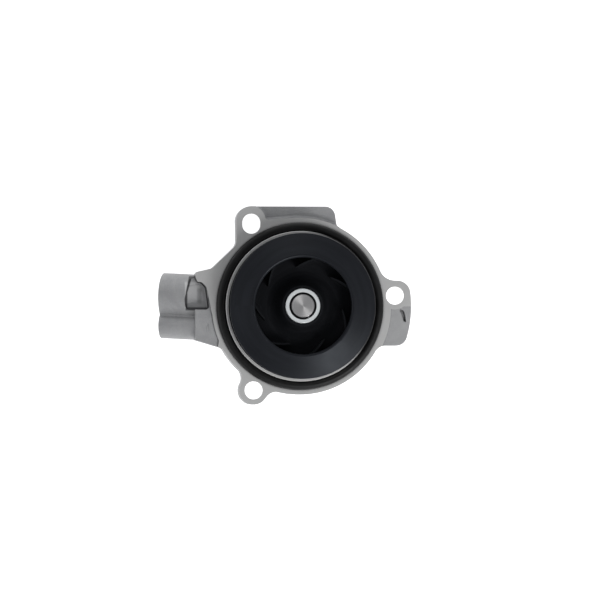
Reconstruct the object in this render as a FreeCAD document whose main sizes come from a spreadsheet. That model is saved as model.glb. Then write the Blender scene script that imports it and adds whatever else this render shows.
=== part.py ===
import FreeCAD, Part
import math
import os
import re
import Sketcher

# Belt-driven engine coolant pump: a die-cast housing with three bolt ears, a
# bearing shaft on balls and rollers, a sprung face seal, a closed plastic
# impeller and a toothed pulley. Z is the shaft axis and points from the pulley
# to the impeller; the machined face that meets the engine block is z = 0.
# Every size is in millimetres or degrees and lives in the Sizes sheet.

SIZES = {
    # machined flange and its bolt ears
    "flange_radius": 44.1,
    "flange_depth": 11.0,
    "skirt_depth": 14.0,
    "bolt_circle_radius": 48.0,
    "bolt_hole_radius": 4.5,
    "ear_depth": 13.0,
    "slot_ear_angle": 120.6,
    "slot_ear_radius": 7.45,
    "slot_pad_radius": 7.2,
    "slot_half_travel": 0.5,
    "side_ear_angle": 6.5,
    "side_ear_radius": 7.0,
    "lower_ear_angle": 241.0,
    "lower_ear_radius": 7.15,
    "lower_ear_root": 6.5,
    "side_lobe_radius": 55.9,
    "side_lobe_top": 13.0,
    "side_lobe_bottom": -19.6,
    "side_lobe_step": 0.3,
    "side_land_radius": 45.8,
    "side_notch_depth": 2.6,
    "pad_top": 50.1,
    "pad_right": 17.4,
    "pad_foot": 18.9,
    "pad_step": 4.5,
    "pad_wall_radius": 8.4,
    "pad_fillet": 1.5,
    "land_radius": 44.4,
    # cast web that carries the valve boss
    "web_left": -52.4,
    "web_top": 17.1,
    "web_shoulder_x": -44.0,
    "web_shoulder_y": 19.0,
    "web_bottom": -16.9,
    "web_join_x": -38.8,
    "web_step": 1.0,
    # blank valve boss: a large barrel and a small screw lug on one sloping axis
    "boss_slope": 19.0,
    "boss_turn": 3.0,
    "boss_end_x": -66.5,
    "boss_end_z": -20.5,
    "boss_length": 26.0,
    "barrel_y": 4.5,
    "barrel_radius": 12.5,
    "barrel_recess_radius": 9.2,
    "barrel_recess_depth": 2.5,
    "lug_y": -9.6,
    "lug_rise": 5.9,
    "lug_radius": 6.2,
    "lug_recess_radius": 2.4,
    # core pocket between the boss and the web
    "pocket_floor": -8.4,
    "pocket_fillet": 0.9,
    "neck_floor": -8.6,
    # spigot, seal seat and back wall
    "spigot_radius": 37.5,
    "spigot_height": 6.0,
    "spigot_bore": 34.6,
    "spigot_chamfer": 0.15,
    "seat_radius": 41.86,
    "seat_depth": 0.8,
    "front_floor": -0.5,
    "back_wall": 4.5,
    "rib_count": 8,
    "rib_thickness": 3.0,
    "rib_angle": 28.0,
    # bearing boss and weep chamber
    "bearing_radius": 15.0,
    "bearing_front": -9.5,
    "bearing_back": -47.5,
    "bearing_boss_radius": 19.2,
    "bearing_boss_draft": 1.2,
    "weep_radius": 16.8,
    "weep_hole_radius": 2.0,
    "weep_hole_slope": 25.0,
    # o-ring
    "ring_section": 2.13,
    # integral shaft bearing
    "shaft_radius": 7.96,
    "race_bore": 12.52,
    "ball_radius": 3.175,
    "ball_count": 8,
    "ball_row": -17.5,
    "ball_pitch": 10.08,
    "running_play": 0.03,
    "roller_radius": 2.25,
    "roller_length": 8.0,
    "roller_count": 11,
    "roller_row": -38.5,
    "roller_pitch": 10.24,
    "cage_play": 0.12,
    "cage_half_wall": 0.85,
    "ball_cage_reach": 4.4,
    "roller_cage_reach": 5.6,
    "front_seal": -11.6,
    "back_seal": -47.1,
    "bearing_seal_width": 1.7,
    # front journal
    "journal_radius": 6.0,
    "journal_start": -8.6,
    "shaft_nose": 18.2,
    "shaft_tail": -57.2,
    # face seal
    "seal_floor": -5.0,
    "seal_radius": 16.0,
    "seal_boss_radius": 20.5,
    "seal_lip_radius": 18.3,
    "seal_lip": 1.2,
    "seal_sheet": 0.8,
    "spring_wire": 0.6,
    "spring_mean": 14.1,
    "face_plane": 5.0,
    "face_gap": 0.02,
    "sleeve_wall": 0.7,
    "sleeve_top": 8.5,
    "sleeve_rim_radius": 13.6,
    "slinger_radius": 11.8,
    "slinger_front": -7.0,
    # impeller
    "impeller_radius": 36.3,
    "impeller_back": 6.7,
    "disc_thickness": 1.9,
    "hub_radius": 8.66,
    "hub_top": 17.6,
    "hub_chamfer": 0.8,
    "nose_chamfer": 0.4,
    "eye_radius": 24.0,
    "eye_top": 21.2,
    "shroud_rim_top": 16.2,
    "shroud_rim_bottom": 14.4,
    "vane_count": 7,
    "vane_inner": 19.8,
    "vane_start": -4.0,
    "vane_sweep": 86.0,
    "vane_curve": 25.0,
    "vane_step": 5.0,
    # toothed pulley
    "pulley_back": -57.5,
    "pulley_front": -30.5,
    "pulley_radius": 28.6,
    "pulley_rim_bore": 22.4,
    "pulley_web_front": -48.5,
    "tooth_count": 23,
    "tooth_root": 2.6,
    "tooth_centre": 0.85,
    "tooth_round": 0.8,
}

doc = FreeCAD.newDocument("coolant_pump")
sheet = doc.addObject("Spreadsheet::Sheet", "Sizes")
for row, (alias, size) in enumerate(SIZES.items(), start=1):
    sheet.set(f"A{row}", alias)
    sheet.set(f"B{row}", str(size))
    sheet.setAlias(f"B{row}", alias)
doc.recompute()

WORD = re.compile(r"[a-z_]+")
SUBPARTS = []


# ---------------------------------------------------------------- expressions
def bound(text):
    """The text of a formula with each size replaced by its cell in the sheet."""
    return WORD.sub(lambda m: "Sizes." + m.group() if m.group() in SIZES else m.group(), text)


def value(text):
    """A formula's value now."""
    return float(sheet.evalExpression(bound(text)))


# ------------------------------------------------------------------- sketches
def new_sketch(body, name, plane="XZ_Plane", height=None):
    """A sketch on one of the body's own origin planes, height mm along its normal."""
    sketch = body.newObject("Sketcher::SketchObject", name)
    support = next(f for f in body.Origin.OriginFeatures if f.Role == plane)
    sketch.AttachmentSupport = (support, [""])
    sketch.MapMode = "FlatFace"
    if height is not None:
        sketch.setExpression(".AttachmentOffset.Base.z", bound(height))
    return sketch


def size_constraint(sketch, kind, *where, formula):
    number = sketch.addConstraint(Sketcher.Constraint(kind, *where, value(formula)))
    sketch.setExpression(f"Constraints[{number}]", bound(formula))


def place_point(sketch, element, end, x, y):
    """Fixes one end of a sketch element at x, y from the sketch's origin."""
    size_constraint(sketch, "DistanceX", -1, 1, element, end, formula=x)
    size_constraint(sketch, "DistanceY", -1, 1, element, end, formula=y)


def arc_between(start, end, radius, turn):
    """The shorter arc from start to end; turn is 1 for anticlockwise and -1 for clockwise."""
    half = (end - start) * 0.5
    rise = math.sqrt(max(radius**2 - half.Length**2, 0.0))
    side = FreeCAD.Vector(-half.y, half.x, 0).normalize() * rise * turn
    centre = start + half + side
    first, last = (start, end) if turn > 0 else (end, start)
    angles = [math.atan2(p.y - centre.y, p.x - centre.x) for p in (first, last)]
    circle = Part.Circle(centre, FreeCAD.Vector(0, 0, 1), radius)
    return Part.ArcOfCircle(circle, angles[0], angles[1])


def outline(sketch, corners):
    """A closed outline. A corner is (x, y), or (x, y, radius, turn) where an arc leads to it."""
    points = [FreeCAD.Vector(value(c[0]), value(c[1]), 0) for c in corners]
    ends = []
    for k, corner in enumerate(corners):
        start, end = points[k - 1], points[k]
        if len(corner) == 2:
            element = sketch.addGeometry(Part.LineSegment(start, end), False)
            ends.append((element, 1, 2))
            continue
        arc = arc_between(start, end, value(corner[2]), corner[3])
        element = sketch.addGeometry(arc, False)
        ends.append((element, 1, 2) if corner[3] > 0 else (element, 2, 1))
    for k, (element, start_end, far_end) in enumerate(ends):
        following, next_start, _ = ends[(k + 1) % len(ends)]
        sketch.addConstraint(Sketcher.Constraint("Coincident", element, far_end, following, next_start))
        place_point(sketch, element, far_end, corners[k][0], corners[k][1])
        if len(corners[k]) > 2:
            size_constraint(sketch, "Radius", element, formula=corners[k][2])


def circle(sketch, x, y, radius):
    shape = Part.Circle(FreeCAD.Vector(value(x), value(y), 0), FreeCAD.Vector(0, 0, 1), value(radius))
    element = sketch.addGeometry(shape, False)
    place_point(sketch, element, 3, x, y)
    size_constraint(sketch, "Radius", element, formula=radius)


def slot(sketch, x, y, radius, half_travel):
    """An upright slot: two half circles, each of two quarters, joined by straight sides."""
    left, right = f"({x}) - {radius}", f"({x}) + {radius}"
    low, high = f"({y}) - {half_travel}", f"({y}) + {half_travel}"
    outline(sketch, [
        (right, high),
        (x, f"{high} + {radius}", radius, 1),
        (left, high, radius, 1),
        (left, low),
        (x, f"{low} - {radius}", radius, 1),
        (right, low, radius, 1),
    ])


# ------------------------------------------------------------------- features
def new_body(name):
    body = doc.addObject("PartDesign::Body", name)
    body.Label = name
    SUBPARTS.append(body)
    return body


def feature(body, kind, name, sketch, **formulas):
    made = body.newObject("PartDesign::" + kind, name)
    made.Profile = sketch
    for prop, formula in formulas.items():
        made.setExpression(prop, bound(formula))
    return made


def pad(body, name, sketch, length, down=False, both_ways=False, along=None):
    """Along, where given, is the pad's direction as three formulas."""
    made = feature(body, "Pad", name, sketch, Length=length)
    made.Reversed = down
    made.Midplane = both_ways
    if along:
        made.UseCustomVector = True
        for axis, formula in zip("xyz", along):
            made.setExpression(f"Direction.{axis}", bound(formula))
    doc.recompute()
    return made


def pocket(body, name, sketch, depth=None, up=False):
    """Cuts along -normal, or +normal where up; to the end of the solid where no depth is given."""
    made = feature(body, "Pocket", name, sketch, **({"Length": depth} if depth else {}))
    if depth is None:
        made.Type = "ThroughAll"
    made.Reversed = up
    doc.recompute()
    return made


def turned(body, name, corners, kind="Revolution"):
    """A solid, or a Groove cut, turned about Z from corners given as radius and height."""
    sketch = new_sketch(body, name + "_profile")
    if isinstance(corners, tuple):
        circle(sketch, *corners)
    else:
        outline(sketch, corners)
    made = feature(body, kind, name, sketch)
    made.ReferenceAxis = (sketch, ["V_Axis"])
    made.Angle = 360
    doc.recompute()
    return made


def polar(body, name, originals, count):
    made = body.newObject("PartDesign::PolarPattern", name)
    made.Originals = originals
    made.Axis = (next(f for f in body.Origin.OriginFeatures if f.Role == "Z_Axis"), [""])
    made.Angle = 360
    made.setExpression("Occurrences", bound(count))
    body.Tip = made
    doc.recompute()
    return made


def edges_of(body, wanted):
    return [f"Edge{n}" for n, edge in enumerate(body.Shape.Edges, start=1) if wanted(edge)]


def round_edges(body, name, wanted, radius, kind="Fillet"):
    """Rounds or chamfers the edges that wanted picks."""
    names = edges_of(body, wanted)
    if not names:
        raise ValueError(f"{name}: no edge to round")
    base = body.Tip
    made = body.newObject("PartDesign::" + kind, name)
    made.Base = (base, names)
    made.setExpression("Radius" if kind == "Fillet" else "Size", bound(radius))
    doc.recompute()
    if made.Shape.isNull() or not made.Shape.isValid():
        raise ValueError(f"{name}: cannot round by {radius}")
    return made


def upright_at(x, y, reach=0.6):
    """Picks the upright straight edge at x, y."""
    def wanted(edge):
        if len(edge.Vertexes) != 2 or not isinstance(edge.Curve, Part.Line):
            return False
        first, last = (v.Point for v in edge.Vertexes)
        flat = math.hypot(first.x - last.x, first.y - last.y)
        off = math.hypot(first.x - value(x), first.y - value(y))
        return flat < 1e-4 and off < reach
    return wanted


def level_at(height, left, right, near, far):
    """Picks the edges that lie flat at a height, with their middles inside a rectangle."""
    def wanted(edge):
        box = edge.BoundBox
        flat = max(abs(box.ZMin - value(height)), abs(box.ZMax - value(height))) < 1e-3
        return flat and left < box.Center.x < right and near < box.Center.y < far
    return wanted


# -------------------------------------------------------------- pump housing
def bolt_position(angle):
    return (f"bolt_circle_radius * cos({angle})", f"bolt_circle_radius * sin({angle})")


def housing_core(body):
    """Spigot, back wall, skirt and bearing boss: turned in one, then hollowed from both sides."""
    turned(body, "core", [
        ("0", "bearing_back"),
        ("bearing_boss_radius - 0.6", "bearing_back"),
        ("bearing_boss_radius", "bearing_back + 0.6"),
        ("bearing_boss_radius + bearing_boss_draft", "-skirt_depth"),
        ("flange_radius - 0.8", "-skirt_depth"),
        ("flange_radius", "-skirt_depth + 0.8"),
        ("flange_radius", "0"),
        ("spigot_radius", "0"),
        ("spigot_radius", "spigot_height - spigot_chamfer"),
        ("spigot_radius - spigot_chamfer", "spigot_height"),
        ("0", "spigot_height"),
    ])
    turned(body, "front_hollow", [
        ("0", "seal_lip"),
        ("seal_boss_radius", "seal_lip"),
        ("seal_boss_radius + 1.8", "front_floor"),
        ("spigot_bore - 2.5", "front_floor"),
        ("spigot_bore - 0.5", "front_floor + 2", "2.1", 1),
        ("spigot_bore", "spigot_height - spigot_chamfer"),
        ("spigot_bore + spigot_chamfer", "spigot_height"),
        ("spigot_bore + spigot_chamfer", "spigot_height + 2"),
        ("0", "spigot_height + 2"),
    ], kind="Groove")
    turned(body, "ring_seat", [
        ("spigot_radius", "-seat_depth"),
        ("seat_radius - 0.3", "-seat_depth"),
        ("seat_radius", "-seat_depth + 0.3", "0.3", 1),
        ("seat_radius", "1"),
        ("spigot_radius", "1"),
    ], kind="Groove")
    turned(body, "back_hollow", [
        ("bearing_boss_radius + bearing_boss_draft", "-skirt_depth - 0.5"),
        ("bearing_boss_radius + 4.6", "front_floor - back_wall - 0.6"),
        ("bearing_boss_radius + 6.5", "front_floor - back_wall", "2.2", -1),
        ("spigot_bore - 1.2", "front_floor - back_wall"),
        ("spigot_bore + 3.9", "-9"),
        ("spigot_bore + 4.6", "-skirt_depth - 0.5"),
    ], kind="Groove")
    turned(body, "shaft_bore", [
        ("0", "bearing_back - 1"),
        ("bearing_radius + 0.5", "bearing_back - 1"),
        ("bearing_radius + 0.5", "bearing_back"),
        ("bearing_radius", "bearing_back + 0.5"),
        ("bearing_radius", "bearing_front - 0.2"),
        ("weep_radius", "bearing_front + 1.2"),
        ("weep_radius", "seal_floor - 0.6"),
        ("seal_radius", "seal_floor"),
        ("seal_radius", "seal_lip + 1"),
        ("0", "seal_lip + 1"),
    ], kind="Groove")


def on_flange(height):
    """How far the flange circle reaches sideways at a height y, or upwards at a distance x."""
    return f"sqrt(flange_radius ^ 2 - ({height}) ^ 2)"


def housing_flange(body):
    """The flange's outline beyond its ring: slot ear, top pad, side lobe and web."""
    ear_x, ear_y = bolt_position("slot_ear_angle")
    rise = f"(pad_top - {ear_y})"
    sketch = new_sketch(body, "flange_outline", "XY_Plane")
    outline(sketch, [
        (on_flange("side_lobe_top"), "side_lobe_top", "flange_radius", -1),
        ("sqrt(side_lobe_radius ^ 2 - side_lobe_top ^ 2)", "side_lobe_top"),
        ("sqrt(side_lobe_radius ^ 2 - side_lobe_bottom ^ 2)", "side_lobe_bottom", "side_lobe_radius", -1),
        (on_flange("side_lobe_bottom"), "side_lobe_bottom"),
        ("web_join_x", "-" + on_flange("web_join_x"), "flange_radius", -1),
        ("web_left", "web_bottom"),
        ("web_left", "web_top"),
        ("web_shoulder_x", "web_shoulder_y"),
        (f"{ear_x} - slot_ear_radius", "30.6"),
        (f"{ear_x} - slot_ear_radius", ear_y),
        (ear_x, "pad_top", f"({rise} ^ 2 + slot_ear_radius ^ 2) / (2 * {rise})", -1),
        ("pad_right", "pad_top"),
        ("pad_foot", on_flange("pad_foot")),
    ])
    pad(body, "flange", sketch, "flange_depth", down=True)
    for x, y, radius in (
        (on_flange("side_lobe_top"), "side_lobe_top", "8"),
        ("sqrt(side_lobe_radius ^ 2 - side_lobe_top ^ 2)", "side_lobe_top", "6.5"),
        ("sqrt(side_lobe_radius ^ 2 - side_lobe_bottom ^ 2)", "side_lobe_bottom", "5.5"),
        (on_flange("side_lobe_bottom"), "side_lobe_bottom", "6"),
        ("web_join_x", "-" + on_flange("web_join_x"), "4"),
        (f"{ear_x} - slot_ear_radius", "30.6", "5"),
        ("pad_right", "pad_top", "5"),
        ("pad_foot", on_flange("pad_foot"), "4"),
        ("web_shoulder_x", "web_shoulder_y", "3"),
        ("web_left", "web_top", "2"),
    ):
        round_edges(body, "corner", upright_at(x, y), radius)


def housing_steps(body):
    """As-cast areas beside the machined land: top pad, foot of the side lobe and web."""
    lower = new_sketch(body, "top_pad_area", "XY_Plane")
    outline(lower, [
        ("26", "sqrt(land_radius ^ 2 - 26 ^ 2)"),
        ("-2", "sqrt(land_radius ^ 2 - 2 ^ 2)", "land_radius", 1),
        ("-17.2", "43.3"),
        ("-22.4", "pad_top + 0.1", "pad_wall_radius", 1),
        ("-22.4", "pad_top + 4"),
        ("26", "pad_top + 4"),
    ])
    pocket(body, "top_pad_step", lower, "pad_step")
    round_edges(body, "top_pad_corner", upright_at("-17.2", "43.3"), "pad_fillet + 0.1")
    round_edges(body, "top_pad_root", level_at("-pad_step", -23, 14, 30, 48.8), "pad_fillet")
    lobe = new_sketch(body, "lobe_area", "XY_Plane")
    outline(lobe, [
        ("sqrt(side_land_radius ^ 2 - 25 ^ 2)", "-25"),
        ("side_land_radius", "0", "side_land_radius", 1),
        ("60", "0"),
        ("60", "-25"),
    ])
    pocket(body, "lobe_step", lobe, "side_lobe_step")
    notch = new_sketch(body, "lobe_notch_outline", "XY_Plane")
    outline(notch, [
        ("50.3", "-1.3"),
        ("51.9", "-1.9"),
        ("53.0", "-5.2", "9", -1),
        ("53.3", "-7.8"),
        ("52.1", "-7.4"),
        ("51.2", "-4.7"),
        ("50.2", "-2.6"),
    ])
    pocket(body, "lobe_notch", notch, "side_notch_depth")
    web = new_sketch(body, "web_area", "XY_Plane")
    outline(web, [
        ("-46.4", "8"),
        ("-44.5", "-2"),
        ("-40.6", "-17"),
        ("-42", "-26"),
        ("-58", "-26"),
        ("-58", "8"),
    ])
    pocket(body, "web_step", web, "web_step")


def ear_root(side):
    """Where the hollow round at one side of the lower ear touches the ear and the flange circle."""
    out, across = "(flange_radius + lower_ear_root)", "(lower_ear_radius + lower_ear_root)"
    sides = f"({out} ^ 2 + bolt_circle_radius ^ 2 - {across} ^ 2)"
    turn = f"acos({sides} / (2 * bolt_circle_radius * {out})) / 1 deg"
    angle = f"(lower_ear_angle + ({side}) * {turn})"
    x, y = bolt_position("lower_ear_angle")
    return {
        "flange": (f"flange_radius * cos({angle})", f"flange_radius * sin({angle})"),
        "ear": (f"({x} * lower_ear_root + {out} * cos({angle}) * lower_ear_radius) / {across}",
                f"({y} * lower_ear_root + {out} * sin({angle}) * lower_ear_radius) / {across}"),
    }


def housing_ears(body):
    """A full-depth boss round each bolt hole, standing up to the machined plane."""
    for name, angle, radius, rise in (
        ("slot_ear", "slot_ear_angle", "slot_pad_radius", "slot_half_travel"),
        ("side_ear", "side_ear_angle", "side_ear_radius", "0"),
        ("lower_ear", "lower_ear_angle", "lower_ear_radius", "0"),
    ):
        x, y = bolt_position(angle)
        sketch = new_sketch(body, name + "_circle", "XY_Plane")
        circle(sketch, x, f"{y} + {rise}", radius)
        pad(body, name, sketch, "ear_depth", down=True)
    near, far = ear_root("-1"), ear_root("1")
    root = new_sketch(body, "lower_ear_root_outline", "XY_Plane")
    outline(root, [
        near["ear"],
        (*near["flange"], "lower_ear_root", 1),
        far["flange"],
        (*far["ear"], "lower_ear_root", 1),
    ])
    pad(body, "lower_ear_root", root, "flange_depth", down=True)


def sloped_sketch(body, name):
    """A sketch square to the valve boss axis at its outer end: sideways is Y, upwards is near Z."""
    sketch = new_sketch(body, name, "YZ_Plane")
    turn = FreeCAD.Rotation(FreeCAD.Vector(-1, 0, 0), value("boss_slope"))
    sketch.AttachmentOffset = FreeCAD.Placement(FreeCAD.Vector(0, 0, 0), turn)
    sketch.setExpression(".AttachmentOffset.Rotation.Angle", bound("boss_slope"))
    sketch.setExpression(".AttachmentOffset.Base.y", bound("boss_end_z"))
    sketch.setExpression(".AttachmentOffset.Base.z", bound("boss_end_x"))
    return sketch


def housing_boss(body):
    """The blank valve boss: barrel and screw lug, each with a shallow cored end."""
    along = ("cos(boss_slope) * cos(boss_turn)", "-sin(boss_turn)", "sin(boss_slope) * cos(boss_turn)")
    for name, y, z, radius in (
        ("barrel", "barrel_y", "0", "barrel_radius"),
        ("lug", "lug_y", "lug_rise", "lug_radius"),
    ):
        sketch = sloped_sketch(body, name + "_circle")
        circle(sketch, y, z, radius)
        pad(body, name, sketch, "boss_length", along=along)
    keel = sloped_sketch(body, "keel_outline")
    outline(keel, [
        ("lug_y - lug_radius", "lug_rise"),
        ("lug_y - lug_radius + 0.8", "-4"),
        ("-5.5", "-8"),
        ("0", "0"),
        ("barrel_y - 8.1", "9.4"),
        ("lug_y + 4.9", "lug_rise + 3.7"),
        ("lug_y", "lug_rise"),
    ])
    pad(body, "keel", keel, "boss_length", along=along)
    for name, y, z, radius in (
        ("barrel_core", "barrel_y", "0", "barrel_recess_radius"),
        ("lug_core", "lug_y", "lug_rise", "lug_recess_radius"),
    ):
        sketch = sloped_sketch(body, name + "_circle")
        circle(sketch, y, z, radius)
        pocket(body, name, sketch, "barrel_recess_depth", up=True)


def housing_pocket(body):
    """The D-shaped core pocket between the boss and the web, and its shallow upper neck."""
    sketch = new_sketch(body, "pocket_outline", "XY_Plane")
    outline(sketch, [
        ("-57.1", "-1.6"),
        ("-45.2", "-1.6"),
        ("-46.8", "9.6"),
        ("-49.2", "12.2"),
        ("-55.6", "12.2"),
        ("-56.2", "10.0"),
        ("-57.6", "3.5"),
    ])
    pocket(body, "pocket", sketch, "-pocket_floor")
    for x, y, radius in (
        ("-57.1", "-1.6", "2.2"),
        ("-45.2", "-1.6", "1.6"),
        ("-46.8", "9.6", "3"),
        ("-49.2", "12.2", "2.4"),
    ):
        round_edges(body, "pocket_corner", upright_at(x, y), radius)
    round_edges(body, "pocket_root", level_at("pocket_floor", -59, -44, -3, 14), "pocket_fillet")
    neck = new_sketch(body, "neck_outline", "XY_Plane")
    outline(neck, [
        ("-56.1", "10.0"),
        ("-50.0", "11.0"),
        ("-51.6", "12.8"),
        ("-52.2", "14.4"),
        ("-52.4", "17.5"),
        ("-54.1", "17.5"),
        ("-54.7", "14.4"),
    ])
    pocket(body, "neck", neck, "-neck_floor")


def housing_ribs(body):
    """Gusset ribs behind the wall, from the bearing boss out to the skirt."""
    sketch = new_sketch(body, "rib_outline")
    sketch.AttachmentOffset = FreeCAD.Placement(
        FreeCAD.Vector(0, 0, 0), FreeCAD.Rotation(FreeCAD.Vector(0, 1, 0), value("rib_angle")))
    sketch.setExpression(".AttachmentOffset.Rotation.Angle", bound("rib_angle"))
    outline(sketch, [
        ("bearing_boss_radius - 1", "-3"),
        ("flange_radius - 3", "-3"),
        ("flange_radius - 3", "-skirt_depth + 1"),
        ("bearing_boss_radius + 1.5", "-25"),
        ("bearing_boss_radius - 1", "-26"),
    ])
    rib = pad(body, "rib", sketch, "rib_thickness", both_ways=True)
    polar(body, "ribs", [rib], "rib_count")


def housing_holes(body):
    """Two round bolt holes, one upright slot and the weep hole behind the seal."""
    x, y = bolt_position("slot_ear_angle")
    sketch = new_sketch(body, "slot_outline", "XY_Plane")
    slot(sketch, x, y, "bolt_hole_radius", "slot_half_travel")
    pocket(body, "slot", sketch)
    for name, angle in (("side_hole", "side_ear_angle"), ("lower_hole", "lower_ear_angle")):
        x, y = bolt_position(angle)
        sketch = new_sketch(body, name + "_circle", "XY_Plane")
        circle(sketch, x, y, "bolt_hole_radius")
        pocket(body, name, sketch)
    weep = new_sketch(body, "weep_circle")
    weep.AttachmentOffset = FreeCAD.Placement(
        FreeCAD.Vector(0, 0, 0), FreeCAD.Rotation(FreeCAD.Vector(1, 0, 0), value("weep_hole_slope")))
    weep.setExpression(".AttachmentOffset.Rotation.Angle", bound("weep_hole_slope"))
    circle(weep, "0", "0", "weep_hole_radius")
    pocket(body, "weep_hole", weep, up=True)


def build_housing():
    body = new_body("pump_housing")
    for step in (housing_flange, housing_steps, housing_boss, housing_ears, housing_pocket,
                 housing_core, housing_ribs, housing_holes):
        step(body)


# ------------------------------------------------------ other parts that stay
def build_ring_seal():
    body = new_body("flange_o_ring")
    middle = ("spigot_radius + ring_section + 0.02", "ring_section + 0.02 - seat_depth")
    turned(body, "ring", (*middle, "ring_section"))


def build_bearing_race():
    body = new_body("bearing_outer_race")
    turned(body, "race", [
        ("race_bore", "bearing_back"),
        ("bearing_radius - 0.5", "bearing_back"),
        ("bearing_radius", "bearing_back + 0.5"),
        ("bearing_radius", "bearing_front - 0.5"),
        ("bearing_radius - 0.5", "bearing_front"),
        ("race_bore", "bearing_front"),
    ])
    turned(body, "ball_groove", ("ball_pitch", "ball_row", "ball_radius + running_play"), kind="Groove")


def build_bearing_seals():
    """Lip seals at the two ends of the bearing, each with its lip turned outwards."""
    for name, start, out in (
        ("bearing_seal_front", "front_seal", "1"),
        ("bearing_seal_rear", "back_seal", "-1"),
    ):
        body = new_body(name)
        middle = f"{start} + bearing_seal_width / 2"
        turned(body, "seal", [
            ("race_bore", f"{middle} - bearing_seal_width / 2"),
            ("race_bore", f"{middle} + bearing_seal_width / 2"),
            ("race_bore - 1.2", f"{middle} + bearing_seal_width / 2"),
            ("race_bore - 1.6", f"{middle} + 0.25"),
            ("shaft_radius + 1.3", f"{middle} + 0.25"),
            ("shaft_radius + running_play", f"{middle} + 0.3 * {out} + 0.15"),
            ("shaft_radius + running_play", f"{middle} + 0.3 * {out} - 0.15"),
            ("shaft_radius + 1.3", f"{middle} - 0.35"),
            ("race_bore - 1.6", f"{middle} - 0.35"),
            ("race_bore - 1.2", f"{middle} - bearing_seal_width / 2"),
        ])


def build_seal_cup():
    body = new_body("seal_cup")
    turned(body, "cup", [
        ("9.6", "seal_floor"),
        ("seal_radius - 1.2", "seal_floor"),
        ("seal_radius", "seal_floor + 1.2", "1.2", 1),
        ("seal_radius", "seal_lip"),
        ("seal_lip_radius", "seal_lip"),
        ("seal_lip_radius", "seal_lip + seal_sheet"),
        ("seal_radius", "seal_lip + seal_sheet"),
        ("seal_radius - seal_sheet", "seal_lip", "seal_sheet", 1),
        ("seal_radius - seal_sheet", "seal_floor + seal_sheet + 0.4"),
        ("seal_radius - seal_sheet - 0.4", "seal_floor + seal_sheet", "0.4", -1),
        ("9.6", "seal_floor + seal_sheet"),
    ])


def build_seal_bellows():
    body = new_body("seal_bellows")
    base = "seal_floor + seal_sheet"
    turned(body, "bellows", [
        ("9.9", base),
        ("14.6", base),
        ("15.1", base + " + 0.5"),
        ("15.1", base + " + 0.95"),
        ("11.0", base + " + 0.95"),
        ("11.0", "-1.4"),
        ("12.6", "0.3"),
        ("12.6", "3.6"),
        ("11.6", "3.6"),
        ("11.6", "1.15"),
        ("9.4", "1.15"),
        ("9.4", "0.3"),
        ("9.9", "-0.6"),
    ])


def build_seal_spring():
    body = new_body("seal_spring")
    sketch = new_sketch(body, "wire_circle")
    circle(sketch, "spring_mean", "seal_floor + seal_sheet + 0.95 + spring_wire", "spring_wire")
    coil = feature(body, "AdditiveHelix", "coil", sketch)
    coil.ReferenceAxis = (sketch, ["V_Axis"])
    coil.Mode = 0
    coil.setExpression("Pitch", bound("1.6"))
    coil.setExpression("Height", bound("4.0"))
    doc.recompute()


def build_seal_retainer():
    body = new_body("seal_spring_retainer")
    turned(body, "retainer", [
        ("12.65", "0.4"),
        ("13.2", "0.4"),
        ("13.2", "2.05"),
        ("15.0", "2.05"),
        ("15.0", "2.65"),
        ("12.65", "2.65"),
    ])


def build_carbon_ring():
    body = new_body("seal_carbon_ring")
    turned(body, "carbon", [
        ("8.8", "1.15"),
        ("11.6", "1.15"),
        ("11.6", "4.0"),
        ("11.3", "4.2"),
        ("10.8", "4.2"),
        ("10.8", "face_plane - face_gap"),
        ("9.2", "face_plane - face_gap"),
        ("9.2", "4.2"),
        ("8.8", "4.2"),
    ])


# ------------------------------------------------- parts that turn with the shaft
def build_shaft():
    body = new_body("pump_shaft")
    turned(body, "shaft", [
        ("0", "shaft_tail"),
        ("shaft_radius - 0.6", "shaft_tail"),
        ("shaft_radius", "shaft_tail + 0.6"),
        ("shaft_radius", "journal_start - 0.4"),
        ("shaft_radius - 0.4", "journal_start"),
        ("journal_radius", "journal_start"),
        ("journal_radius", "shaft_nose - nose_chamfer * 2.5"),
        ("journal_radius - nose_chamfer", "shaft_nose"),
        ("0", "shaft_nose"),
    ])
    turned(body, "ball_groove", ("ball_pitch", "ball_row", "ball_radius + running_play"), kind="Groove")


def build_slinger():
    body = new_body("slinger_ring")
    turned(body, "slinger", [
        ("journal_radius", "slinger_front - 1.5"),
        ("journal_radius + 0.6", "slinger_front - 1.5"),
        ("journal_radius + 0.6", "slinger_front - 0.6"),
        ("slinger_radius - 0.6", "slinger_front - 0.6"),
        ("slinger_radius - 0.6", "slinger_front - 1.4"),
        ("slinger_radius", "slinger_front - 1.4"),
        ("slinger_radius", "slinger_front"),
        ("journal_radius", "slinger_front"),
    ])


def build_sleeve():
    body = new_body("seal_rotating_sleeve")
    turned(body, "sleeve", [
        ("journal_radius", "-2"),
        ("journal_radius + sleeve_wall", "-2"),
        ("journal_radius + sleeve_wall", "sleeve_top - sleeve_wall - 0.5"),
        ("journal_radius + sleeve_wall + 0.5", "sleeve_top - sleeve_wall", "0.5", -1),
        ("sleeve_rim_radius - sleeve_wall", "sleeve_top - sleeve_wall"),
        ("sleeve_rim_radius - sleeve_wall", "5.6"),
        ("sleeve_rim_radius", "5.6"),
        ("sleeve_rim_radius", "sleeve_top - 0.6"),
        ("sleeve_rim_radius - 0.6", "sleeve_top", "0.6", 1),
        ("journal_radius", "sleeve_top"),
    ])


def build_boot():
    body = new_body("seal_rotating_boot")
    turned(body, "boot", [
        ("8.2", "7"),
        ("12", "7"),
        ("12", "5.8"),
        ("sleeve_rim_radius - sleeve_wall", "5.8"),
        ("sleeve_rim_radius - sleeve_wall", "sleeve_top - sleeve_wall"),
        ("8.2", "sleeve_top - sleeve_wall"),
    ])


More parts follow.
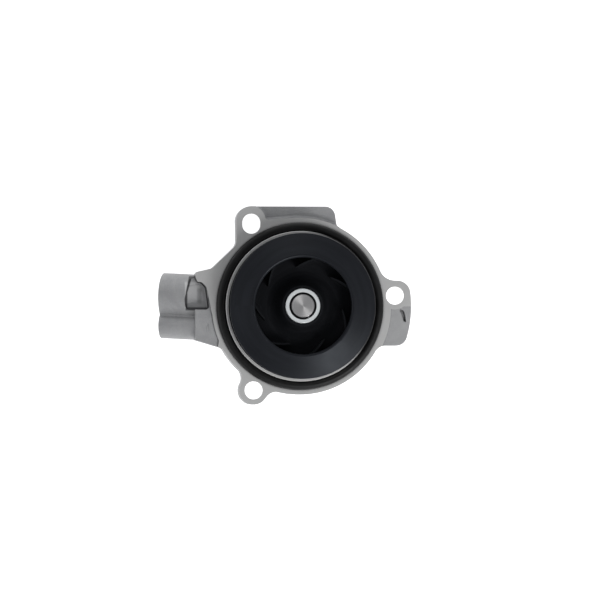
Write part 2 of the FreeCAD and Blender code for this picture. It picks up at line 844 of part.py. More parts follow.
def build_mating_ring():
    body = new_body("seal_mating_ring")
    turned(body, "ring", [
        ("8.9", "face_plane"),
        ("11.8", "face_plane"),
        ("12", "face_plane + 0.2"),
        ("12", "7"),
        ("8.9", "7"),
    ])


def build_hub_bush():
    body = new_body("impeller_hub_bush")
    turned(body, "bush", [
        ("journal_radius", "sleeve_top"),
        ("hub_radius", "sleeve_top"),
        ("hub_radius", "hub_top - 0.2"),
        ("hub_radius - 0.2", "hub_top"),
        ("journal_radius + hub_chamfer", "hub_top"),
        ("journal_radius", "hub_top - hub_chamfer * 1.5"),
    ])


def build_vane_disc():
    """Back plate, hub dome and backward-swept vanes in one moulding."""
    body = new_body("impeller_vane_disc")
    plate_top = "impeller_back + disc_thickness"
    turned(body, "plate", [
        ("hub_radius", "sleeve_top + 0.1"),
        ("sleeve_rim_radius + 0.7", "sleeve_top + 0.1"),
        ("sleeve_rim_radius + 0.7", "impeller_back"),
        ("impeller_radius", "impeller_back"),
        ("impeller_radius", plate_top),
        ("17.4", plate_top + " + 0.4"),
        ("12.4", "12.4", "7.5", -1),
        ("10.2", "16.2"),
        ("hub_radius", "16.6"),
    ])
    sketch = new_sketch(body, "vane_outline", "XY_Plane", "sleeve_top + 0.07")
    tip = "(impeller_radius - 0.3)"
    first, last = "(vane_start - vane_sweep)", "(vane_start - vane_sweep - vane_step)"
    back = "(vane_start - vane_step)"
    outline(sketch, [
        ("vane_inner * cos(vane_start)", "vane_inner * sin(vane_start)"),
        (f"{tip} * cos{first}", f"{tip} * sin{first}", "vane_curve", -1),
        (f"{tip} * cos{last}", f"{tip} * sin{last}"),
        (f"vane_inner * cos{back}", f"vane_inner * sin{back}", "vane_curve", 1),
    ])
    vane = pad(body, "vane", sketch, "eye_top - sleeve_top")
    polar(body, "vanes", [vane], "vane_count")
    turned(body, "vane_tops", [
        ("12.5", "13.2"),
        ("eye_radius + 0.6", "18.0"),
        ("26.5", "17.55"),
        ("impeller_radius", "shroud_rim_bottom - 0.05"),
        ("impeller_radius + 2", "shroud_rim_bottom - 0.7"),
        ("impeller_radius + 2", "eye_top + 2"),
        ("12.5", "eye_top + 2"),
    ], kind="Groove")


def build_shroud():
    """The conical front cover of the impeller with its rolled inlet lip."""
    body = new_body("impeller_front_shroud")
    turned(body, "shroud", [
        ("impeller_radius", "shroud_rim_bottom"),
        ("impeller_radius", "shroud_rim_top - 0.3"),
        ("impeller_radius - 0.3", "shroud_rim_top", "0.35", 1),
        ("eye_radius + 1.6", "eye_top - 0.1"),
        ("eye_radius + 0.7", "eye_top - 0.1", "0.9", 1),
        ("eye_radius", "eye_top - 1.2", "1.2", 1),
        ("eye_radius", "18.9"),
        ("26.5", "17.6", "2.8", 1),
    ])


def build_pulley():
    """A cup-shaped toothed pulley whose rim runs round the bearing boss."""
    body = new_body("belt_pulley")
    turned(body, "blank", [
        ("shaft_radius", "pulley_back + 0.5"),
        ("shaft_radius + 0.5", "pulley_back"),
        ("13", "pulley_back"),
        ("13.6", "pulley_back + 1.5"),
        ("pulley_rim_bore - 1.4", "pulley_back + 1.5"),
        ("pulley_rim_bore - 0.8", "pulley_back"),
        ("pulley_radius - 0.6", "pulley_back"),
        ("pulley_radius", "pulley_back + 0.6"),
        ("pulley_radius", "pulley_front - 0.6"),
        ("pulley_radius - 0.6", "pulley_front"),
        ("pulley_rim_bore + 0.5", "pulley_front"),
        ("pulley_rim_bore", "pulley_front - 0.5"),
        ("pulley_rim_bore", "pulley_web_front + 2"),
        ("pulley_rim_bore - 2", "pulley_web_front", "2", -1),
        ("shaft_radius", "pulley_web_front"),
    ])
    sketch = new_sketch(body, "tooth_gap", "XY_Plane", "pulley_front + 1")
    circle(sketch, "pulley_radius - tooth_centre", "0", "tooth_root")
    gap = pocket(body, "gap", sketch)
    polar(body, "gaps", [gap], "tooth_count")
    round_edges(body, "tooth_tips", tooth_tip, "tooth_round")


def tooth_tip(edge):
    """Picks the long edges between a tooth's crown and its flanks."""
    if len(edge.Vertexes) != 2 or not isinstance(edge.Curve, Part.Line):
        return False
    first, last = (v.Point for v in edge.Vertexes)
    near_crown = math.hypot(first.x, first.y) > value("pulley_radius - 0.3")
    return near_crown and abs(first.z - last.z) > value("pulley_front - pulley_back") / 2


# ----------------------------------------------------------- rolling elements
def ring_of(name, kind, count, pitch, height, **formulas):
    """Equal rolling elements round the shaft, gathered as one sub-part."""
    made = []
    for k in range(int(value(count))):
        element = doc.addObject("Part::" + kind, f"{name}_{k + 1}")
        for prop, formula in formulas.items():
            element.setExpression(prop, bound(formula))
        element.setExpression(".Placement.Base.x", bound(f"{pitch} * cos(360 * {k} / {count})"))
        element.setExpression(".Placement.Base.y", bound(f"{pitch} * sin(360 * {k} / {count})"))
        element.setExpression(".Placement.Base.z", bound(height))
        made.append(element)
    group = doc.addObject("Part::Compound", name)
    group.Label = name
    group.Links = made
    SUBPARTS.append(group)
    doc.recompute()


def build_cage(name, row, pitch, reach):
    body = new_body(name)
    turned(body, "ring", [
        (f"{pitch} - cage_half_wall", f"{row} - {reach}"),
        (f"{pitch} + cage_half_wall", f"{row} - {reach}"),
        (f"{pitch} + cage_half_wall", f"{row} + {reach}"),
        (f"{pitch} - cage_half_wall", f"{row} + {reach}"),
    ])
    return body


def build_ball_cage():
    body = build_cage("ball_cage", "ball_row", "ball_pitch", "ball_cage_reach")
    sketch = new_sketch(body, "pocket_circle", "YZ_Plane")
    circle(sketch, "0", "ball_row", "ball_radius + cage_play")
    hole = pocket(body, "ball_pocket", sketch, up=True)
    polar(body, "ball_pockets", [hole], "ball_count")


def build_roller_cage():
    body = build_cage("roller_cage", "roller_row", "roller_pitch", "roller_cage_reach")
    sketch = new_sketch(body, "pocket_window", "YZ_Plane")
    half_width = "roller_radius + cage_play"
    half_length = "roller_length / 2 + cage_play"
    outline(sketch, [
        (f"{half_width}", f"roller_row - ({half_length})"),
        (f"{half_width}", f"roller_row + {half_length}"),
        (f"-({half_width})", f"roller_row + {half_length}"),
        (f"-({half_width})", f"roller_row - ({half_length})"),
    ])
    window = pocket(body, "roller_pocket", sketch, up=True)
    polar(body, "roller_pockets", [window], "roller_count")


# ----------------------------------------------------------------- make it all
for build in (
    build_housing, build_ring_seal, build_bearing_race, build_bearing_seals, build_seal_cup,
    build_seal_bellows, build_seal_spring, build_seal_retainer, build_carbon_ring, build_shaft,
    build_slinger, build_sleeve, build_boot, build_mating_ring, build_hub_bush, build_vane_disc,
    build_shroud, build_pulley, build_ball_cage, build_roller_cage,
):
    build()
ring_of("bearing_balls", "Sphere", "ball_count", "ball_pitch", "ball_row", Radius="ball_radius")
ring_of("bearing_rollers", "Cylinder", "roller_count", "roller_pitch", "roller_row - roller_length / 2",
        Radius="roller_radius", Height="roller_length")
doc.recompute()

for thing in doc.Objects:
    if {"Invalid", "Error"} & set(thing.State):
        raise RuntimeError(f"{thing.Name} did not compute")
os.makedirs("parts", exist_ok=True)
for part in SUBPARTS:
    if part.Shape.isNull() or not part.Shape.isValid():
        raise RuntimeError(f"{part.Label} has no valid shape")
    part.Shape.exportStep(f"parts/{part.Label}.step")
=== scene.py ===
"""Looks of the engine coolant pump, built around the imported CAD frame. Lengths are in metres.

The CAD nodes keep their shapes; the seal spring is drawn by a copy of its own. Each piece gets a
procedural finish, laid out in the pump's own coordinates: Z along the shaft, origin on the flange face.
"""
import math

import bpy
from mathutils import Matrix, Vector


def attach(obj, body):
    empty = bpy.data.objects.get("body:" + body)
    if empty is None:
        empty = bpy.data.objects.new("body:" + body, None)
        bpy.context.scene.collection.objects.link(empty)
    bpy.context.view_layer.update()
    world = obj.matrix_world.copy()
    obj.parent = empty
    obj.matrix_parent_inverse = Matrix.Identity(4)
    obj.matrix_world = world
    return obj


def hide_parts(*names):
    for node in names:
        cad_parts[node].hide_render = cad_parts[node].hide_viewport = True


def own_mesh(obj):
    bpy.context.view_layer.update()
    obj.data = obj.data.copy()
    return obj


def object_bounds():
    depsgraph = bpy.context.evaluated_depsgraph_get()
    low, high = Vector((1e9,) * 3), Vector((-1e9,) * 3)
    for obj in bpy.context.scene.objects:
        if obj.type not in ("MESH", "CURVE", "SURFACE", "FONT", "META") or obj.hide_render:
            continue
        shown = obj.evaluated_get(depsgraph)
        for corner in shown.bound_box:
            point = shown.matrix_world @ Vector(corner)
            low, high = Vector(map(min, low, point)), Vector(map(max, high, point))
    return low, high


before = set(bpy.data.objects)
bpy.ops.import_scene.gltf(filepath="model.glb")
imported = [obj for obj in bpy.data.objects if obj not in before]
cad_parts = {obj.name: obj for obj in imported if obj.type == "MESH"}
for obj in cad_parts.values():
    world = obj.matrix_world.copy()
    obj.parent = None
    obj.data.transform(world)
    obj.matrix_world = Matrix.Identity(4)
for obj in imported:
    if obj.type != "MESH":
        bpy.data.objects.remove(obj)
CAD_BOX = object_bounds()

MM = 0.001
BOLT_HOLES = ((-24.43, 41.32, 5.1), (47.69, 5.43, 4.6), (-23.27, -41.98, 4.6))   # x, y, reach in mm
SPIGOT_RADIUS = 37.5 * MM
LOBE_START = 42 * MM            # the right ear's foot lies beyond this x
LOBE_STEP = 0.3 * MM            # and this far below the flange face
CROWN_RADIUS = 28.5 * MM        # tooth crowns of the pulley
SHAFT_GLINT = (2.65 * MM, -5.15 * MM, 0.45 * MM)     # x, y and reach of a painted glint, a near-white spot on the shaft end


# ------------------------------------------------------------------ node helper
class Finish:
    """One node material. Calls return sockets, so that they can be nested like a formula."""

    def __init__(self, name):
        self.material = bpy.data.materials.new(name)
        self.material.use_nodes = True
        self.tree = self.material.node_tree
        self.shader = self.tree.nodes["Principled BSDF"]
        self.place = self.node("ShaderNodeTexCoord").outputs["Object"]

    def node(self, kind, inputs=None, **settings):
        made = self.tree.nodes.new(kind)
        for key, setting in settings.items():
            setattr(made, key, setting)
        for key, source in (inputs or {}).items():
            self.feed(made.inputs[key], source)
        return made

    def feed(self, socket, source):
        if isinstance(source, bpy.types.NodeSocket):
            self.tree.links.new(source, socket)
        elif source is not None:
            socket.default_value = source

    def set(self, **inputs):
        """Feeds the shader: base_color=..., roughness=..., and so on."""
        for key, source in inputs.items():
            label = " ".join(word.capitalize() for word in key.split("_"))
            label = {"Ior Level": "Specular IOR Level"}.get(label, label)
            if label in ("Base Color", "Specular Tint", "Emission Color") and isinstance(source, tuple):
                source = (*source, 1.0)
            self.feed(self.shader.inputs[label], source)

    def calc(self, operation, a, b=0.0):
        return self.node("ShaderNodeMath", {0: a, 1: b}, operation=operation).outputs[0]

    def times(self, first, *others):
        """The product of two or more shares."""
        for other in others:
            first = self.calc("MULTIPLY", first, other)
        return first

    def away(self, source, middle):
        """How far source is from middle, either way."""
        return self.calc("ABSOLUTE", self.calc("SUBTRACT", source, middle))

    def axes(self, vector=None):
        return self.node("ShaderNodeSeparateXYZ", {0: vector or self.place}).outputs

    def normal(self):
        return self.node("ShaderNodeNewGeometry").outputs["Normal"]

    def noise(self, size, detail=4.0, rough=0.55, at=None, distort=0.0):
        """Noise whose blotches are about size across."""
        made = self.node("ShaderNodeTexNoise", {
            "Vector": at or self.place, "Scale": 1 / size,
            "Detail": detail, "Roughness": rough, "Distortion": distort})
        return made.outputs["Fac"]

    def cells(self, size):
        """Distance to the nearest of many scattered points about size apart."""
        made = self.node("ShaderNodeTexVoronoi", {"Vector": self.place, "Scale": 1 / size})
        return made.outputs["Distance"]

    def stretched(self, x, y, z):
        made = self.node("ShaderNodeVectorMath", {0: self.place, 1: (x, y, z)}, operation="MULTIPLY")
        return made.outputs[0]

    def ramp(self, source, low, high, start=0.0, end=1.0):
        """Eases from start, where source is low, to end, where it is high; low may be the larger."""
        made = self.node("ShaderNodeMapRange", {"Value": source, "From Min": low, "From Max": high,
                                                "To Min": start, "To Max": end})
        made.interpolation_type = "SMOOTHSTEP"
        return made.outputs["Result"]

    def blend(self, share, a, b):
        """Colour a where share is 0 and b where it is 1."""
        made = self.node("ShaderNodeMix", data_type="RGBA")
        for key, source in ((0, share), (6, a), (7, b)):
            self.feed(made.inputs[key], (*source, 1.0) if isinstance(source, tuple) else source)
        return made.outputs[2]

    def mix(self, share, a, b):
        return self.node("ShaderNodeMix", {0: share, 2: a, 3: b}, data_type="FLOAT").outputs[0]

    def bump(self, height, depth, strength=1.0, over=None):
        made = self.node("ShaderNodeBump", {"Height": height, "Distance": depth, "Strength": strength})
        if over is not None:
            self.feed(made.inputs["Normal"], over)
        return made.outputs[0]

    def soft_edges(self, radius):
        return self.node("ShaderNodeBevel", {"Radius": radius}, samples=4).outputs[0]

    def edge_wear(self, radius):
        """1 on sharp edges and 0 on flats, from how far a bevelled normal leans from the true one."""
        lean = self.node("ShaderNodeVectorMath", {0: self.soft_edges(radius), 1: self.normal()},
                         operation="DOT_PRODUCT").outputs["Value"]
        return self.ramp(lean, 0.995, 0.88)

    def crevice(self, reach, low=0.35, high=0.9):
        """1 deep in corners and grooves narrower than reach, and 0 in the open."""
        made = self.node("ShaderNodeAmbientOcclusion", {"Distance": reach}, samples=6)
        return self.ramp(made.outputs["AO"], low, high, 1.0, 0.0)

    def near(self, x, y, reach, soft=0.15 * MM):
        """1 within reach of the upright line at x, y, and 0 outside it."""
        at_x, at_y, _ = self.axes()
        off_x, off_y = self.calc("SUBTRACT", at_x, x), self.calc("SUBTRACT", at_y, y)
        off = self.node("ShaderNodeCombineXYZ", {0: off_x, 1: off_y})
        far = self.node("ShaderNodeVectorMath", {0: off.outputs[0]}, operation="LENGTH").outputs["Value"]
        return self.ramp(far, reach + soft, reach - soft)

    def within(self, source, middle, full, none):
        """1 where source is within full mm of middle, falling to 0 at none mm."""
        return self.ramp(self.away(source, middle * MM), none * MM, full * MM)

    def polar(self):
        """Distance from the shaft axis in metres, and angle round it in turns."""
        x, y, _ = self.axes()
        radius = self.calc("SQRT", self.calc("ADD", self.times(x, x), self.times(y, y)))
        angle = self.times(self.calc("ARCTAN2", y, x), 1 / math.tau)
        return radius, angle

    def rings(self, pitch, wander=0.15):
        """Turned tool marks: fine rings round the shaft axis with a little uneven spacing."""
        radius, _ = self.polar()
        _, _, z = self.axes()
        reach = self.node("ShaderNodeCombineXYZ", {0: radius, 1: z, 2: 0.0}).outputs[0]
        fine = self.noise(pitch, detail=3.0, rough=0.7, at=reach)
        wide = self.noise(pitch * 9, detail=2.0, at=reach)
        return self.mix(wander, fine, wide)

    def wear_on(self, *nodes):
        """Puts this finish on CAD nodes, in every one of their material slots."""
        for name in nodes:
            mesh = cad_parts[name].data
            mesh.materials.clear()
            mesh.materials.append(self.material)
        return self


# -------------------------------------------------------------------- finishes
def pocket_light_and_shade(paint, x, y, z, upward):
    """The core pocket: a painted highlight on its floor, and painted shade along its walls, root and neck.
    """
    below = paint.ramp(z, -1.5 * MM, -2.5 * MM)
    box = paint.times(below, paint.within(x, -51.0, 6.2, 6.4), paint.within(y, 6.6, 8.3, 9.0))
    # painted highlight: most of the pocket's floor is painted lighter
    lit_floor = paint.times(box, paint.within(y, 5.0, 6.5, 8.0))
    # painted shade: the steep walls, the foot and a wedge down the neck's left wall are painted dark
    walls = paint.ramp(upward, 0.97, 0.80)
    foot = paint.ramp(y, -0.1 * MM, -0.8 * MM)
    lean = paint.times(paint.calc("MAXIMUM", paint.calc("SUBTRACT", y, 7 * MM), 0.0), 0.30)
    inward = paint.calc("SUBTRACT", x, lean)
    side = paint.times(paint.within(inward, -56.6, 0.55, 0.95), paint.ramp(z, -6.4 * MM, -7.2 * MM))
    inside = paint.ramp(inward, -57.2 * MM, -56.95 * MM)
    marks = paint.calc("MAXIMUM", paint.times(paint.calc("MAXIMUM", walls, foot), inside), side)
    return lit_floor, paint.times(marks, box, 0.85)


def cast_aluminium():
    """Bead-blasted die-cast skin; milled, turned and drilled faces where the CAD has them."""
    paint = Finish("cast_aluminium")
    radius, angle = paint.polar()
    x, y, z = paint.axes()
    upward = paint.axes(paint.normal())[2]
    flat_top = paint.ramp(upward, 0.985, 0.999)
    at_flange = paint.times(flat_top, paint.ramp(z, -0.15 * MM, -0.03 * MM))
    on_spigot = paint.ramp(radius, SPIGOT_RADIUS + 0.4 * MM, SPIGOT_RADIUS + 0.1 * MM)
    turned = paint.times(on_spigot, paint.ramp(z, -0.1 * MM, 0.1 * MM))
    at_lobe = paint.ramp(x, LOBE_START, LOBE_START + 1 * MM)
    above_step = paint.ramp(z, -LOBE_STEP - 0.2 * MM, -LOBE_STEP - 0.1 * MM)
    lobe = paint.times(at_lobe, above_step, flat_top, 0.12)
    machined = paint.calc("MAXIMUM", paint.calc("MAXIMUM", at_flange, lobe), turned)
    drilled = 0.0
    for hole_x, hole_y, reach in BOLT_HOLES:
        hole = paint.near(hole_x * MM, hole_y * MM, reach * MM, 0.03 * MM)
        drilled = paint.calc("MAXIMUM", drilled, hole)
    drilled = paint.times(drilled, paint.ramp(paint.calc("ABSOLUTE", upward), 0.4, 0.1))

    grain = paint.noise(0.45 * MM, detail=5.0, rough=0.7)
    pits = paint.ramp(paint.cells(0.8 * MM), 0.12, 0.30)
    flow = paint.noise(9 * MM, detail=6.0, rough=0.6, distort=0.8)
    stain = paint.noise(22 * MM, detail=3.0)
    skin = paint.blend(paint.ramp(flow, 0.30, 0.72), (0.345, 0.346, 0.352), (0.405, 0.406, 0.411))
    skin = paint.blend(paint.ramp(stain, 0.50, 0.75, 0.0, 0.35), skin, (0.400, 0.394, 0.382))
    skin = paint.blend(paint.ramp(grain, 0.38, 0.66, 0.30, 0.0), skin, (0.20, 0.20, 0.205))

    strokes = paint.rings(0.16 * MM)
    cut = paint.blend(paint.ramp(strokes, 0.3, 0.7), (0.480, 0.478, 0.474), (0.550, 0.548, 0.543))
    cut = paint.blend(paint.ramp(flow, 0.45, 0.8, 0.0, 0.3), cut, (0.45, 0.445, 0.435))
    colour = paint.blend(machined, skin, cut)
    colour = paint.blend(paint.times(paint.edge_wear(0.4 * MM), 0.25), colour, (0.50, 0.50, 0.50))
    lit_floor, pocket_shade = pocket_light_and_shade(paint, x, y, z, upward)
    # painted highlight on the pocket's floor
    colour = paint.blend(paint.times(lit_floor, 0.8), colour, (0.56, 0.56, 0.565))
    # painted shade: a dull dark upright streak on the pocket's floor, where a shallow valley would be
    # shaded
    valley_shade = paint.times(paint.within(x, -49.9, 0.5, 1.6), paint.within(y, 5.4, 2.8, 4.5))
    colour = paint.blend(paint.times(valley_shade, lit_floor, 0.5), colour, (0.20, 0.20, 0.205))
    # grime and painted shade: corners and grooves narrower than 1.6 mm are darkened, except on turned
    # faces
    grime_and_shade = paint.times(paint.crevice(1.6 * MM), paint.ramp(flow, 0.2, 0.6, 0.95, 0.65))
    grime_and_shade = paint.times(grime_and_shade, paint.calc("SUBTRACT", 1.0, turned))
    colour = paint.blend(grime_and_shade, colour, (0.075, 0.075, 0.078))
    # painted shade along the pocket's walls, root and neck
    colour = paint.blend(pocket_shade, colour, (0.045, 0.045, 0.047))
    # painted shade: the rim is painted dark on the side of the right-hand ear; 0.045 turns is the middle
    # of it
    rim_shade = paint.times(paint.ramp(radius, SPIGOT_RADIUS - 0.55 * MM, SPIGOT_RADIUS - 0.35 * MM), turned,
                       paint.ramp(paint.away(angle, 0.045), 0.21, 0.13), 0.95)
    colour = paint.blend(rim_shade, colour, (0.012, 0.012, 0.013))
    colour = paint.blend(drilled, colour, (0.93, 0.93, 0.93))

    rough_skin = paint.ramp(grain, 0.3, 0.7, 0.54, 0.66)
    rough_cut = paint.ramp(strokes, 0.3, 0.7, 0.42, 0.52)
    rough = paint.mix(drilled, paint.mix(machined, rough_skin, rough_cut), 0.18)
    relief = paint.bump(paint.times(grain, pits), 0.12 * MM, over=paint.soft_edges(0.30 * MM))
    relief = paint.bump(flow, 0.25 * MM, strength=0.4, over=relief)
    lines = paint.bump(strokes, 0.02 * MM, strength=0.5, over=paint.soft_edges(0.12 * MM))
    choice = paint.node("ShaderNodeMix", {0: paint.calc("MAXIMUM", machined, drilled)}, data_type="VECTOR")
    paint.feed(choice.inputs[4], relief)
    paint.feed(choice.inputs[5], lines)
    paint.set(base_color=colour, metallic=0.9, roughness=rough, normal=choice.outputs[1])
    return paint


def rubber(name, colour, shine):
    """Moulded rubber: near black, faint bloom, a fine matt skin."""
    paint = Finish(name)
    bloom = paint.noise(6 * MM, detail=5.0, rough=0.65)
    grain = paint.noise(0.12 * MM, detail=2.0)
    dusty = tuple(c * 1.5 + 0.002 for c in colour)
    paint.set(base_color=paint.blend(paint.ramp(bloom, 0.4, 0.75), colour, dusty),
              roughness=paint.ramp(bloom, 0.3, 0.7, shine, shine + 0.12), metallic=0.0,
              ior_level=0.22, normal=paint.bump(grain, 0.02 * MM, strength=0.4))
    return paint


def ground_steel(name, colour, pitch, low, high, depth=0.008 * MM, spun=0.0, groove=None):
    """Ground or turned steel with fine rings round the axis, slight staining and bright edges.

    Spun is how far the gloss is drawn out across the rings. Groove is the inner and outer radius of a
    dark gap round the shaft end: painted shade, with a small painted glint beside it.
    """
    paint = Finish(name)
    marks = paint.rings(pitch)
    smear = paint.noise(5 * MM, detail=5.0, rough=0.6, distort=0.4)
    dark = tuple(c * 0.85 for c in colour)
    shade = paint.blend(paint.ramp(marks, 0.25, 0.75), dark, colour)
    shade = paint.blend(paint.ramp(smear, 0.5, 0.8, 0.0, 0.25), shade, tuple(c * 0.7 for c in colour))
    shade = paint.blend(paint.times(paint.edge_wear(0.2 * MM), 0.4), shade, (0.80, 0.80, 0.79))
    if groove:
        radius, _ = paint.polar()
        _, _, z = paint.axes()
        inner, outer = groove
        # painted shade in the gap round the shaft end, on its chamfers
        gap_shade = paint.times(paint.ramp(radius, inner - 0.05 * MM, inner + 0.05 * MM),
                          paint.ramp(radius, outer + 0.05 * MM, outer - 0.05 * MM),
                          paint.ramp(z, 14 * MM, 15 * MM))
        shade = paint.blend(gap_shade, shade, (0.13, 0.13, 0.135))
        # painted glint: a small near-white spot on the edge of the gap
        shade = paint.blend(paint.near(*SHAFT_GLINT), shade, (0.97, 0.97, 0.97))
    paint.set(base_color=shade, metallic=1.0, roughness=paint.ramp(marks, 0.25, 0.75, low, high),
              normal=paint.bump(marks, depth, strength=0.8, over=paint.soft_edges(0.12 * MM)))
    if spun:
        around = paint.node("ShaderNodeTangent", direction_type="RADIAL", axis="Z")
        paint.set(anisotropic=spun, anisotropic_rotation=0.25, tangent=around.outputs[0])
    return paint


def stamped_steel():
    """Bright rolled sheet with drawing scratches and a mill-grain haze."""
    paint = Finish("stamped_steel")
    scratches = paint.noise(0.2 * MM, detail=4.0, at=paint.stretched(1.0, 1.0, 0.06))
    haze = paint.noise(3 * MM, detail=6.0)
    paint.set(base_color=paint.blend(paint.ramp(haze, 0.3, 0.7), (0.44, 0.44, 0.43), (0.62, 0.62, 0.60)),
              metallic=1.0, roughness=paint.ramp(scratches, 0.3, 0.7, 0.20, 0.36),
              normal=paint.bump(scratches, 0.006 * MM, strength=0.6))
    return paint


def ceramic_ring(name, colour, low):
    """A lapped seal ring: dense, dark and slightly glossy, with fine pores."""
    paint = Finish(name)
    pores = paint.ramp(paint.cells(0.18 * MM), 0.05, 0.22)
    cloud = paint.noise(2 * MM, detail=4.0)
    paint.set(base_color=paint.blend(paint.ramp(cloud, 0.3, 0.7), colour, tuple(c * 1.6 for c in colour)),
              roughness=paint.ramp(pores, 0.0, 1.0, low + 0.25, low), metallic=0.0,
              normal=paint.bump(pores, 0.008 * MM, strength=0.4))
    return paint


def filled_plastic(name, colour, low, high, level, corner_light=None):
    """Glass-filled black moulding: satin, with flow streaks and fibre speckle.

    The last argument is the colour painted into its deepest corners: painted light that lifts the shade
    there.
    """
    paint = Finish(name)
    radius, angle = paint.polar()
    _, _, z = paint.axes()
    around = {0: paint.times(radius, 3.0), 1: paint.times(angle, 40 * MM), 2: z}
    wrapped = paint.node("ShaderNodeCombineXYZ", around).outputs[0]
    swirl = paint.noise(8 * MM, detail=5.0, rough=0.6, at=wrapped, distort=0.5)
    cloud = paint.noise(7 * MM, detail=4.0, rough=0.6)
    speckle = paint.noise(0.30 * MM, detail=3.0, rough=0.7)
    light = tuple(c * 1.5 + 0.001 for c in colour)
    shade = paint.blend(paint.ramp(swirl, 0.35, 0.75), colour, light)
    shade = paint.blend(paint.ramp(speckle, 0.60, 0.80, 0.0, 0.35), shade, (0.016, 0.016, 0.018))
    if corner_light:
        # painted light: the most occluded corners are painted lighter, lifting the shade there
        shade = paint.blend(paint.crevice(9 * MM, 0.05, 0.40), shade, corner_light)
    gloss = paint.calc("ADD", paint.times(swirl, 0.5), paint.times(cloud, 0.5))
    paint.set(base_color=shade, metallic=0.0, ior_level=level, specular_tint=(0.86, 0.92, 1.0),
              roughness=paint.ramp(gloss, 0.35, 0.65, low, high),
              normal=paint.bump(speckle, 0.010 * MM, strength=0.4, over=paint.soft_edges(0.2 * MM)))
    return paint


def sintered_steel():
    """Pressed and sintered iron with steam-blued skin; belt-polished tooth crowns."""
    paint = Finish("sintered_steel")
    radius, _ = paint.polar()
    pores = paint.ramp(paint.cells(0.35 * MM), 0.08, 0.3)
    cloud = paint.noise(5 * MM, detail=5.0)
    crown = paint.ramp(radius, CROWN_RADIUS - 0.3 * MM, CROWN_RADIUS)
    skin = paint.blend(paint.ramp(cloud, 0.3, 0.7), (0.085, 0.088, 0.095), (0.16, 0.158, 0.155))
    shade = paint.blend(paint.times(crown, 0.6), skin, (0.36, 0.35, 0.34))
    paint.set(base_color=shade, metallic=0.9, roughness=paint.mix(crown, 0.52, 0.30),
              normal=paint.bump(pores, 0.03 * MM, strength=0.5, over=paint.soft_edges(0.2 * MM)))
    return paint


def cage_plastic():
    paint = Finish("cage_plastic")
    cloud = paint.noise(1.5 * MM, detail=4.0)
    paint.set(base_color=paint.blend(paint.ramp(cloud, 0.3, 0.7), (0.46, 0.40, 0.27), (0.60, 0.54, 0.40)),
              roughness=0.45, metallic=0.0, subsurface_weight=0.05,
              normal=paint.bump(cloud, 0.01 * MM, strength=0.4))
    return paint


cast_aluminium().wear_on("pump_housing")
rubber("seal_rubber", (0.0040, 0.0040, 0.0042), 0.42).wear_on("flange_o_ring")
rubber("lip_rubber", (0.030, 0.012, 0.008), 0.45).wear_on("bearing_seal_front", "bearing_seal_rear")
rubber("bellows_rubber", (0.010, 0.010, 0.010), 0.45).wear_on("seal_bellows", "seal_rotating_boot")
ground_steel("shaft_steel", (0.60, 0.59, 0.59), 0.12 * MM, 0.24, 0.34, spun=0.75,
             groove=(5.62 * MM, 6.4 * MM)).wear_on("pump_shaft")
ground_steel("bush_steel", (0.90, 0.93, 0.94), 0.10 * MM, 0.36, 0.46,
             groove=(5.5 * MM, 6.82 * MM)).wear_on("impeller_hub_bush")
ground_steel("bearing_steel", (0.56, 0.56, 0.56), 0.05 * MM, 0.10, 0.18).wear_on(
    "bearing_outer_race", "bearing_balls", "bearing_rollers")
spring_steel = ground_steel("spring_steel", (0.42, 0.42, 0.41), 0.08 * MM, 0.24, 0.34)
spring_steel.wear_on("seal_spring")
stamped_steel().wear_on("seal_cup", "seal_spring_retainer", "seal_rotating_sleeve", "slinger_ring")
ceramic_ring("carbon_graphite", (0.018, 0.018, 0.019), 0.32).wear_on("seal_carbon_ring")
ceramic_ring("silicon_carbide", (0.04, 0.042, 0.045), 0.16).wear_on("seal_mating_ring")
filled_plastic("impeller_plastic", (0.0050, 0.0053, 0.0062), 0.62, 0.72, 0.06,
               corner_light=(0.055, 0.056, 0.062)).wear_on("impeller_vane_disc")
filled_plastic("shroud_plastic", (0.0040, 0.0044, 0.0060), 0.38, 0.46, 0.21).wear_on(
    "impeller_front_shroud")
sintered_steel().wear_on("belt_pulley")
cage_plastic().wear_on("ball_cage", "roller_cage")


def sprung_coil():
    """The seal spring as a mesh of its own, riding on the housing."""
    coil = bpy.data.objects.new("seal_coil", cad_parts["seal_spring"].data.copy())
    coil.data.materials.clear()
    coil.data.materials.append(spring_steel.material)
    bpy.context.collection.objects.link(coil)
    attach(coil, "housing")
    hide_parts("seal_spring")
    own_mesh(coil)


sprung_coil()


# --------------------------------------------------------------------- the set
def add_floor():
    """A wide white light table under the pulley, where the pump stands on its own."""
    lowest = CAD_BOX[0][2]
    bpy.ops.mesh.primitive_plane_add(size=8.0, location=(0, 0, lowest - 0.2 * MM))
    floor = bpy.context.object
    floor.name = "floor"
    paint = Finish("floor_paper")
    tooth = paint.noise(0.5 * MM, detail=3.0)
    paint.set(base_color=paint.blend(paint.ramp(tooth, 0.3, 0.7), (0.50, 0.50, 0.50), (0.53, 0.53, 0.53)),
              roughness=0.9, metallic=0.0, emission_color=(1.0, 1.0, 1.0), emission_strength=0.95,
              normal=paint.bump(tooth, 0.02 * MM, strength=0.3))
    floor.data.materials.append(paint.material)


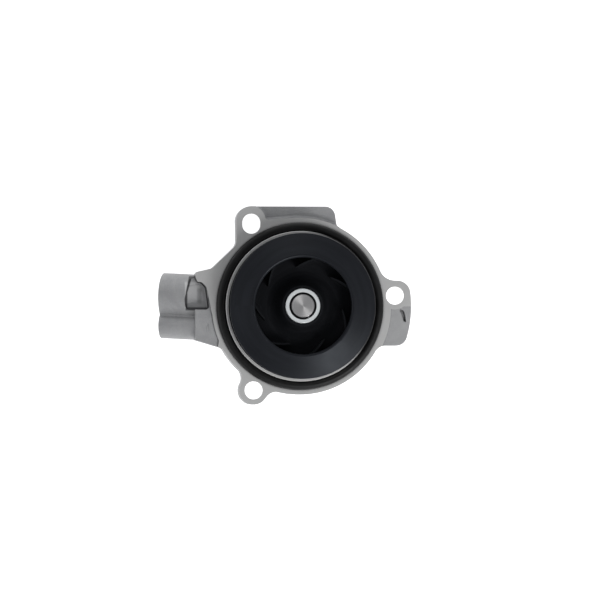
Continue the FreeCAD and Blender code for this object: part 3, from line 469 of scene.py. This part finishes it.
def add_panel(name, place, width, height, power, towards=(0.0, 0.0, 0.0)):
    """A soft rectangular light panel facing a point."""
    light = bpy.data.lights.new(name, "AREA")
    light.shape = "RECTANGLE"
    light.size = width
    light.size_y = height
    light.energy = power
    panel = bpy.data.objects.new(name, light)
    panel.location = place
    panel.rotation_euler = (Vector(towards) - Vector(place)).to_track_quat("-Z", "Y").to_euler()
    bpy.context.collection.objects.link(panel)


def add_lights():
    """A white tent, dimmer overhead than at the horizon, with a key panel at the near right."""
    world = bpy.data.worlds.new("studio")
    bpy.context.scene.world = world
    world.use_nodes = True
    nodes, links = world.node_tree.nodes, world.node_tree.links
    direction = nodes.new("ShaderNodeTexCoord").outputs["Generated"]
    height = nodes.new("ShaderNodeSeparateXYZ")
    strength = nodes.new("ShaderNodeMapRange")
    links.new(direction, height.inputs[0])
    links.new(height.outputs["Z"], strength.inputs["Value"])
    for key, number in (("From Min", 0.15), ("From Max", 0.95), ("To Min", 0.80), ("To Max", 0.36)):
        strength.inputs[key].default_value = number
    backdrop = nodes["Background"]
    backdrop.inputs["Color"].default_value = (0.965, 0.98, 1.0, 1.0)
    links.new(strength.outputs["Result"], backdrop.inputs["Strength"])
    add_panel("panel_key", (0.42, -0.55, 0.75), 0.45, 0.45, 6.5)
    add_panel("panel_left", (-1.3, -0.1, 0.5), 0.8, 0.8, 1.8)
    add_panel("panel_far", (-0.2, 1.3, 0.7), 0.8, 0.5, 1.8)


def add_camera():
    """Looks almost straight down the shaft axis, leaning a little to the left of it."""
    lean_x, lean_y = -0.085, -0.015
    distance = 3.0
    field = 0.300
    aim = Vector((0.0, 3.2 * MM, 0.0))
    camera = bpy.data.cameras.new("camera")
    camera.sensor_fit = "HORIZONTAL"
    camera.sensor_width = 36.0
    camera.lens = camera.sensor_width * distance / field
    holder = bpy.data.objects.new("camera", camera)
    holder.location = aim + Vector((lean_x, lean_y, 1.0)).normalized() * distance
    back = (holder.location - aim).normalized()
    right = Vector((0.0, 1.0, 0.0)).cross(back).normalized()
    holder.rotation_euler = Matrix((right, back.cross(right), back)).transposed().to_euler()
    bpy.context.collection.objects.link(holder)
    bpy.context.scene.camera = holder


add_floor()
add_lights()
add_camera()
bpy.context.scene.view_settings.view_transform = "Standard"
